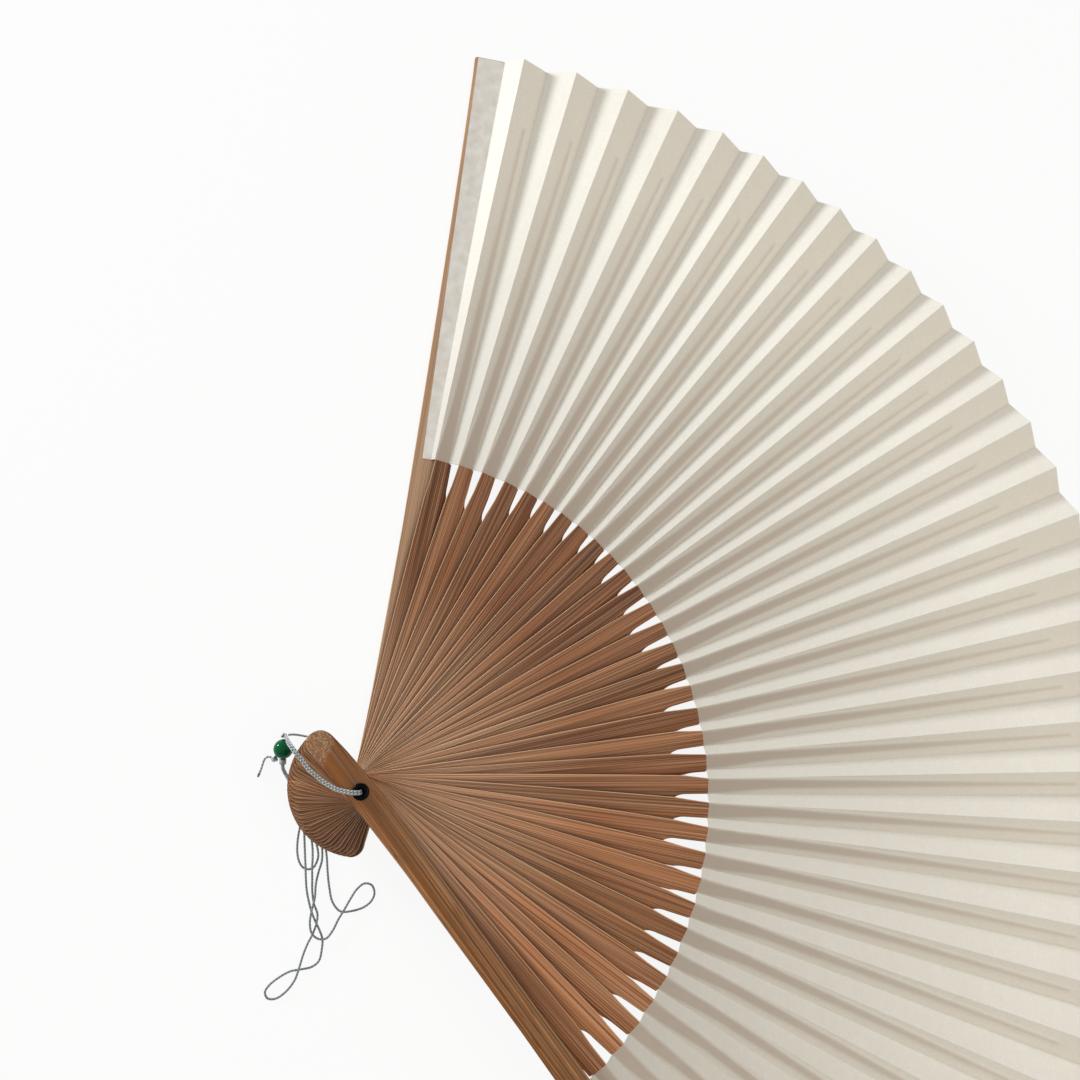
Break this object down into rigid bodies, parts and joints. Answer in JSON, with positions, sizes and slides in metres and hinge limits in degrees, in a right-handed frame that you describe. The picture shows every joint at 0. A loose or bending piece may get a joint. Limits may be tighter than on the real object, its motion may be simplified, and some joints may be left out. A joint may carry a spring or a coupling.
{
  "type": "folding fan",
  "caption": "Open folding hand fan: a pleated two-ply leaf on thin overlapping bamboo ribs between two guards, turning on one eyelet, with a looped cord and bead.",
  "frame": {"origin": "bottom centre of the bounding box of the open fan without its cord and bead, on the plane that the rear guard lies on", "axes": "+Z is the rivet's axis, from the rear guard to the front guard; +Y runs from the rivet to the middle of the opening; +X is to the front guard's side"},
  "size_m": [0.5098, 0.3215, 0.0345],
  "materials": {
    "rib_bamboo": "smoked bamboo, matt, fine lengthwise grain",
    "guard_bamboo": "bamboo, satin, streaked lengthwise",
    "leaf_paper": "mulberry paper, matt, pleated",
    "eyelet_plastic": "black, glossy",
    "bead_glass": "green glass, polished",
    "braided_cord": "grey-green braided silk"
  },
  "bodies": {
    "rear_guard": {"rear_guard": "guard_bamboo", "leaf_front_ply": "leaf_paper", "leaf_back_ply": "leaf_paper", "eyelet_front": "eyelet_plastic", "eyelet_rear": "eyelet_plastic", "front_strand_a": "braided_cord", "front_strand_b": "braided_cord", "return_strand": "braided_cord", "bead": "bead_glass", "top_knot": "braided_cord", "collar": "braided_cord", "whipped_cord": "braided_cord", "side_knot": "braided_cord", "loose_end": "braided_cord", "cord_tip": "braided_cord", "loop_knot": "braided_cord", "short_loop": "braided_cord", "long_loop": "braided_cord", "side_loop": "braided_cord"},
    "rib_01": {"rib_01": "rib_bamboo"},
    "rib_02": {"rib_02": "rib_bamboo"},
    "rib_03": {"rib_03": "rib_bamboo"},
    "rib_04": {"rib_04": "rib_bamboo"},
    "rib_05": {"rib_05": "rib_bamboo"},
    "rib_06": {"rib_06": "rib_bamboo"},
    "rib_07": {"rib_07": "rib_bamboo"},
    "rib_08": {"rib_08": "rib_bamboo"},
    "rib_09": {"rib_09": "rib_bamboo"},
    "rib_10": {"rib_10": "rib_bamboo"},
    "rib_11": {"rib_11": "rib_bamboo"},
    "rib_12": {"rib_12": "rib_bamboo"},
    "rib_13": {"rib_13": "rib_bamboo"},
    "rib_14": {"rib_14": "rib_bamboo"},
    "rib_15": {"rib_15": "rib_bamboo"},
    "rib_16": {"rib_16": "rib_bamboo"},
    "rib_17": {"rib_17": "rib_bamboo"},
    "rib_18": {"rib_18": "rib_bamboo"},
    "rib_19": {"rib_19": "rib_bamboo"},
    "rib_20": {"rib_20": "rib_bamboo"},
    "rib_21": {"rib_21": "rib_bamboo"},
    "rib_22": {"rib_22": "rib_bamboo"},
    "rib_23": {"rib_23": "rib_bamboo"},
    "rib_24": {"rib_24": "rib_bamboo"},
    "rib_25": {"rib_25": "rib_bamboo"},
    "rib_26": {"rib_26": "rib_bamboo"},
    "rib_27": {"rib_27": "rib_bamboo"},
    "rib_28": {"rib_28": "rib_bamboo"},
    "rib_29": {"rib_29": "rib_bamboo"},
    "rib_30": {"rib_30": "rib_bamboo"},
    "rib_31": {"rib_31": "rib_bamboo"},
    "rib_32": {"rib_32": "rib_bamboo"},
    "rib_33": {"rib_33": "rib_bamboo"},
    "front_guard": {"front_guard": "guard_bamboo"}
  },
  "joints": [
    {"name": "rib_01_turn", "type": "hinge", "parent": "rear_guard", "child": "rib_01", "pos_m": [0, -0.12449, 0], "axis": [0, 0, 1], "range_deg": [0, 3.62], "deforming": ["leaf_front_ply", "leaf_back_ply"]},
    {"name": "rib_02_turn", "type": "hinge", "parent": "rib_01", "child": "rib_02", "pos_m": [0, -0.12449, 0], "axis": [0, 0, 1], "range_deg": [0, 4.28]},
    {"name": "rib_03_turn", "type": "hinge", "parent": "rib_02", "child": "rib_03", "pos_m": [0, -0.12449, 0], "axis": [0, 0, 1], "range_deg": [0, 4.28]},
    {"name": "rib_04_turn", "type": "hinge", "parent": "rib_03", "child": "rib_04", "pos_m": [0, -0.12449, 0], "axis": [0, 0, 1], "range_deg": [0, 4.28]},
    {"name": "rib_05_turn", "type": "hinge", "parent": "rib_04", "child": "rib_05", "pos_m": [0, -0.12449, 0], "axis": [0, 0, 1], "range_deg": [0, 3.99]},
    {"name": "rib_06_turn", "type": "hinge", "parent": "rib_05", "child": "rib_06", "pos_m": [0, -0.12449, 0], "axis": [0, 0, 1], "range_deg": [0, 3.69]},
    {"name": "rib_07_turn", "type": "hinge", "parent": "rib_06", "child": "rib_07", "pos_m": [0, -0.12449, 0], "axis": [0, 0, 1], "range_deg": [0, 3.69]},
    {"name": "rib_08_turn", "type": "hinge", "parent": "rib_07", "child": "rib_08", "pos_m": [0, -0.12449, 0], "axis": [0, 0, 1], "range_deg": [0, 3.69]},
    {"name": "rib_09_turn", "type": "hinge", "parent": "rib_08", "child": "rib_09", "pos_m": [0, -0.12449, 0], "axis": [0, 0, 1], "range_deg": [0, 3.69]},
    {"name": "rib_10_turn", "type": "hinge", "parent": "rib_09", "child": "rib_10", "pos_m": [0, -0.12449, 0], "axis": [0, 0, 1], "range_deg": [0, 3.69]},
    {"name": "rib_11_turn", "type": "hinge", "parent": "rib_10", "child": "rib_11", "pos_m": [0, -0.12449, 0], "axis": [0, 0, 1], "range_deg": [0, 3.69]},
    {"name": "rib_12_turn", "type": "hinge", "parent": "rib_11", "child": "rib_12", "pos_m": [0, -0.12449, 0], "axis": [0, 0, 1], "range_deg": [0, 3.69]},
    {"name": "rib_13_turn", "type": "hinge", "parent": "rib_12", "child": "rib_13", "pos_m": [0, -0.12449, 0], "axis": [0, 0, 1], "range_deg": [0, 3.69]},
    {"name": "rib_14_turn", "type": "hinge", "parent": "rib_13", "child": "rib_14", "pos_m": [0, -0.12449, 0], "axis": [0, 0, 1], "range_deg": [0, 3.93]},
    {"name": "rib_15_turn", "type": "hinge", "parent": "rib_14", "child": "rib_15", "pos_m": [0, -0.12449, 0], "axis": [0, 0, 1], "range_deg": [0, 3.93]},
    {"name": "rib_16_turn", "type": "hinge", "parent": "rib_15", "child": "rib_16", "pos_m": [0, -0.12449, 0], "axis": [0, 0, 1], "range_deg": [0, 3.93]},
    {"name": "rib_17_turn", "type": "hinge", "parent": "rib_16", "child": "rib_17", "pos_m": [0, -0.12449, 0], "axis": [0, 0, 1], "range_deg": [0, 3.93]},
    {"name": "rib_18_turn", "type": "hinge", "parent": "rib_17", "child": "rib_18", "pos_m": [0, -0.12449, 0], "axis": [0, 0, 1], "range_deg": [0, 3.93]},
    {"name": "rib_19_turn", "type": "hinge", "parent": "rib_18", "child": "rib_19", "pos_m": [0, -0.12449, 0], "axis": [0, 0, 1], "range_deg": [0, 3.93]},
    {"name": "rib_20_turn", "type": "hinge", "parent": "rib_19", "child": "rib_20", "pos_m": [0, -0.12449, 0], "axis": [0, 0, 1], "range_deg": [0, 3.93]},
    {"name": "rib_21_turn", "type": "hinge", "parent": "rib_20", "child": "rib_21", "pos_m": [0, -0.12449, 0], "axis": [0, 0, 1], "range_deg": [0, 3.93]},
    {"name": "rib_22_turn", "type": "hinge", "parent": "rib_21", "child": "rib_22", "pos_m": [0, -0.12449, 0], "axis": [0, 0, 1], "range_deg": [0, 3.93]},
    {"name": "rib_23_turn", "type": "hinge", "parent": "rib_22", "child": "rib_23", "pos_m": [0, -0.12449, 0], "axis": [0, 0, 1], "range_deg": [0, 3.93]},
    {"name": "rib_24_turn", "type": "hinge", "parent": "rib_23", "child": "rib_24", "pos_m": [0, -0.12449, 0], "axis": [0, 0, 1], "range_deg": [0, 4.05]},
    {"name": "rib_25_turn", "type": "hinge", "parent": "rib_24", "child": "rib_25", "pos_m": [0, -0.12449, 0], "axis": [0, 0, 1], "range_deg": [0, 4.05]},
    {"name": "rib_26_turn", "type": "hinge", "parent": "rib_25", "child": "rib_26", "pos_m": [0, -0.12449, 0], "axis": [0, 0, 1], "range_deg": [0, 4.05]},
    {"name": "rib_27_turn", "type": "hinge", "parent": "rib_26", "child": "rib_27", "pos_m": [0, -0.12449, 0], "axis": [0, 0, 1], "range_deg": [0, 4.05]},
    {"name": "rib_28_turn", "type": "hinge", "parent": "rib_27", "child": "rib_28", "pos_m": [0, -0.12449, 0], "axis": [0, 0, 1], "range_deg": [0, 4.05]},
    {"name": "rib_29_turn", "type": "hinge", "parent": "rib_28", "child": "rib_29", "pos_m": [0, -0.12449, 0], "axis": [0, 0, 1], "range_deg": [0, 4.05]},
    {"name": "rib_30_turn", "type": "hinge", "parent": "rib_29", "child": "rib_30", "pos_m": [0, -0.12449, 0], "axis": [0, 0, 1], "range_deg": [0, 4.05]},
    {"name": "rib_31_turn", "type": "hinge", "parent": "rib_30", "child": "rib_31", "pos_m": [0, -0.12449, 0], "axis": [0, 0, 1], "range_deg": [0, 4.05]},
    {"name": "rib_32_turn", "type": "hinge", "parent": "rib_31", "child": "rib_32", "pos_m": [0, -0.12449, 0], "axis": [0, 0, 1], "range_deg": [0, 4.05]},
    {"name": "rib_33_turn", "type": "hinge", "parent": "rib_32", "child": "rib_33", "pos_m": [0, -0.12449, 0], "axis": [0, 0, 1], "range_deg": [0, 4.05]},
    {"name": "front_guard_turn", "type": "hinge", "parent": "rib_33", "child": "front_guard", "pos_m": [0, -0.12449, 0], "axis": [0, 0, 1], "range_deg": [0, 4.52]}
  ],
  "couplings": [
    {"joint": "rib_02_turn", "follows": "rib_01_turn", "ratio": 1.1848},
    {"joint": "rib_03_turn", "follows": "rib_01_turn", "ratio": 1.1848},
    {"joint": "rib_04_turn", "follows": "rib_01_turn", "ratio": 1.1848},
    {"joint": "rib_05_turn", "follows": "rib_01_turn", "ratio": 1.1032},
    {"joint": "rib_06_turn", "follows": "rib_01_turn", "ratio": 1.0216},
    {"joint": "rib_07_turn", "follows": "rib_01_turn", "ratio": 1.0216},
    {"joint": "rib_08_turn", "follows": "rib_01_turn", "ratio": 1.0216},
    {"joint": "rib_09_turn", "follows": "rib_01_turn", "ratio": 1.0216},
    {"joint": "rib_10_turn", "follows": "rib_01_turn", "ratio": 1.0216},
    {"joint": "rib_11_turn", "follows": "rib_01_turn", "ratio": 1.0216},
    {"joint": "rib_12_turn", "follows": "rib_01_turn", "ratio": 1.0216},
    {"joint": "rib_13_turn", "follows": "rib_01_turn", "ratio": 1.0216},
    {"joint": "rib_14_turn", "follows": "rib_01_turn", "ratio": 1.0869},
    {"joint": "rib_15_turn", "follows": "rib_01_turn", "ratio": 1.0869},
    {"joint": "rib_16_turn", "follows": "rib_01_turn", "ratio": 1.0869},
    {"joint": "rib_17_turn", "follows": "rib_01_turn", "ratio": 1.0869},
    {"joint": "rib_18_turn", "follows": "rib_01_turn", "ratio": 1.0869},
    {"joint": "rib_19_turn", "follows": "rib_01_turn", "ratio": 1.0869},
    {"joint": "rib_20_turn", "follows": "rib_01_turn", "ratio": 1.0869},
    {"joint": "rib_21_turn", "follows": "rib_01_turn", "ratio": 1.0869},
    {"joint": "rib_22_turn", "follows": "rib_01_turn", "ratio": 1.0869},
    {"joint": "rib_23_turn", "follows": "rib_01_turn", "ratio": 1.0869},
    {"joint": "rib_24_turn", "follows": "rib_01_turn", "ratio": 1.1195},
    {"joint": "rib_25_turn", "follows": "rib_01_turn", "ratio": 1.1195},
    {"joint": "rib_26_turn", "follows": "rib_01_turn", "ratio": 1.1195},
    {"joint": "rib_27_turn", "follows": "rib_01_turn", "ratio": 1.1195},
    {"joint": "rib_28_turn", "follows": "rib_01_turn", "ratio": 1.1195},
    {"joint": "rib_29_turn", "follows": "rib_01_turn", "ratio": 1.1195},
    {"joint": "rib_30_turn", "follows": "rib_01_turn", "ratio": 1.1195},
    {"joint": "rib_31_turn", "follows": "rib_01_turn", "ratio": 1.1195},
    {"joint": "rib_32_turn", "follows": "rib_01_turn", "ratio": 1.1195},
    {"joint": "rib_33_turn", "follows": "rib_01_turn", "ratio": 1.1195},
    {"joint": "front_guard_turn", "follows": "rib_01_turn", "ratio": 1.2501}
  ]
}
